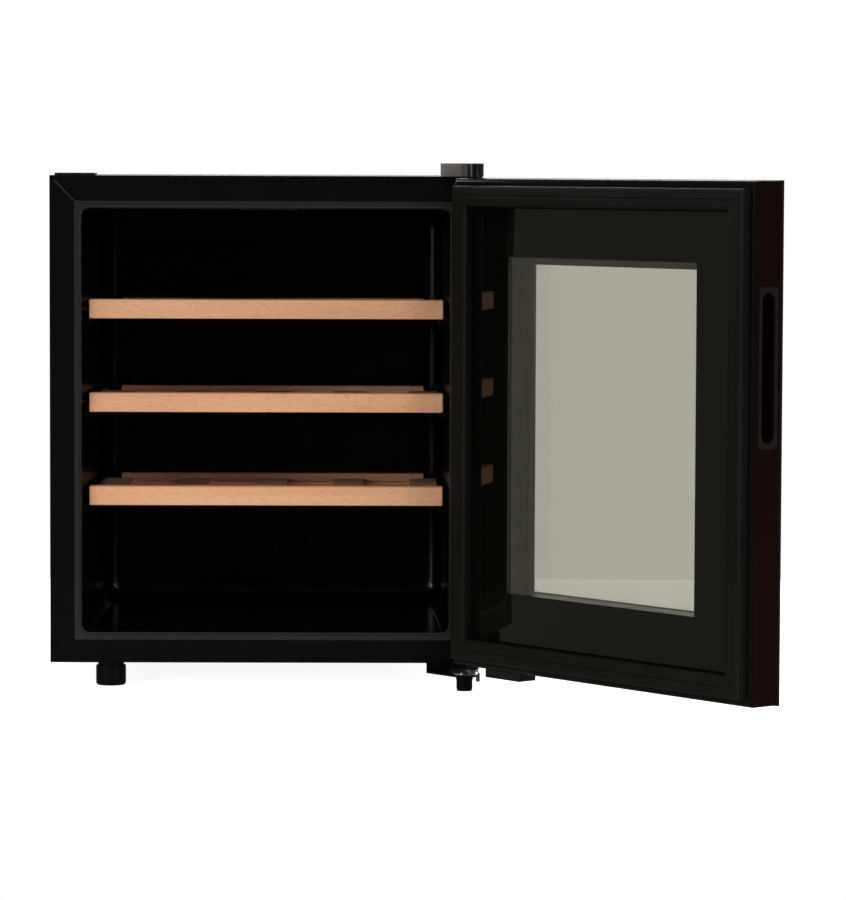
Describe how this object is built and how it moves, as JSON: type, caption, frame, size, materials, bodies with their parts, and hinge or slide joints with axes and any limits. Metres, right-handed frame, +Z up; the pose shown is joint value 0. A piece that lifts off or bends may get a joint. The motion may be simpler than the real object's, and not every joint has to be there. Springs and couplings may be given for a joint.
{
  "type": "wine cooler",
  "caption": "Counter-top wine cooler: black steel case, glossy liner, sliding beech shelves and a double-glazed door hinged at the right, shown open.",
  "frame": {"origin": "on the floor, midway between the case's sides, straight below the case's front face", "axes": "+X towards the hinge side, +Y from the front to the back, +Z up"},
  "size_m": [0.6965, 0.8119, 0.523],
  "materials": {
    "case_paint": "satin",
    "liner_gloss": "gloss",
    "foam": "matte",
    "aluminium": "brushed",
    "ceramic_white": "satin",
    "black_plastic": "satin",
    "guard_wire": "satin",
    "zinc_plate": "bright zinc plate",
    "circuit_board": "satin",
    "white_plastic": "satin",
    "lamp_lens": "frosted",
    "door_gloss": "high gloss",
    "door_glass": "clear, lightly tinted",
    "glazing_bar": "satin",
    "gasket_rubber": "matte",
    "magnet_strip": "matte",
    "beech": "planed, unvarnished"
  },
  "bodies": {
    "cabinet": {"outer_case": "case_paint", "base_panel": "case_paint", "back_panel": "case_paint", "back_panel_screws": "zinc_plate", "inner_liner": "liner_gloss", "insulation": "foam", "duct_cover": "liner_gloss", "duct_screws": "zinc_plate", "cold_sink": "aluminium", "spacer_block": "aluminium", "peltier_module": "ceramic_white", "hot_sink": "aluminium", "inner_fan_frame": "black_plastic", "outer_fan_frame": "black_plastic", "fan_guard": "guard_wire", "machine_tray": "black_plastic", "power_board": "circuit_board", "cord_gland": "black_plastic", "temperature_sensor": "white_plastic", "light_housing": "white_plastic", "light_board": "circuit_board", "light_lens": "lamp_lens", "top_hinge_plate": "zinc_plate", "top_hinge_pin": "zinc_plate", "top_hinge_cover": "black_plastic", "bottom_hinge_bracket": "case_paint", "bottom_hinge_link": "zinc_plate", "bottom_hinge_pin": "zinc_plate", "bottom_hinge_nut": "zinc_plate", "hinge_screws": "zinc_plate", "hinge_backing_plates": "zinc_plate", "hinge_hole_cap": "black_plastic", "rear_feet": "black_plastic", "foot_insert": "white_plastic"},
    "door": {"door_frame": "door_gloss", "outer_glass": "door_glass", "inner_glass": "door_glass", "glazing_spacer": "glazing_bar", "door_foam": "foam", "door_gasket": "gasket_rubber", "gasket_magnets": "magnet_strip", "handle_cup": "black_plastic", "door_bushes": "white_plastic", "door_stop_block": "black_plastic", "door_stop_screws": "zinc_plate", "control_board": "circuit_board"},
    "inner_fan": {"inner_fan_rotor": "black_plastic"},
    "outer_fan": {"outer_fan_rotor": "black_plastic"},
    "left_foot": {"front_left_foot": "black_plastic"},
    "right_foot": {"front_right_foot": "black_plastic"},
    "shelf_1": {"shelf_1_front_bar": "beech", "shelf_1_slats": "beech", "shelf_1_rails": "beech"},
    "shelf_2": {"shelf_2_front_bar": "beech", "shelf_2_slats": "beech", "shelf_2_rails": "beech"},
    "shelf_3": {"shelf_3_front_bar": "beech", "shelf_3_slats": "beech", "shelf_3_rails": "beech"}
  },
  "joints": [
    {"name": "door_hinge", "type": "hinge", "parent": "cabinet", "child": "door", "pos_m": [0.2061, -0.0292, 0.26], "axis": [0, 0, 1], "range_deg": [-128.5, 6.5]},
    {"name": "shelf_1_slide", "type": "slide", "parent": "cabinet", "child": "shelf_1", "axis": [0, -1, 0], "range_m": [0, 0.24]},
    {"name": "shelf_2_slide", "type": "slide", "parent": "cabinet", "child": "shelf_2", "axis": [0, -1, 0], "range_m": [0, 0.24]},
    {"name": "shelf_3_slide", "type": "slide", "parent": "cabinet", "child": "shelf_3", "axis": [0, -1, 0], "range_m": [0, 0.24]},
    {"name": "inner_fan_spin", "type": "hinge", "parent": "cabinet", "child": "inner_fan", "pos_m": [0, 0.3385, 0.3304], "axis": [0, -1, 0], "continuous": true},
    {"name": "outer_fan_spin", "type": "hinge", "parent": "cabinet", "child": "outer_fan", "pos_m": [0, 0.4222, 0.3304], "axis": [0, 1, 0], "continuous": true},
    {"name": "left_foot_turn", "type": "hinge", "parent": "cabinet", "child": "left_foot", "pos_m": [-0.1554, 0.017, 0.01], "axis": [0, 0, 1], "range_deg": [-540, 540]},
    {"name": "right_foot_turn", "type": "hinge", "parent": "cabinet", "child": "right_foot", "pos_m": [0.1985, -0.0284, 0.01], "axis": [0, 0, 1], "range_deg": [-540, 540]}
  ]
}
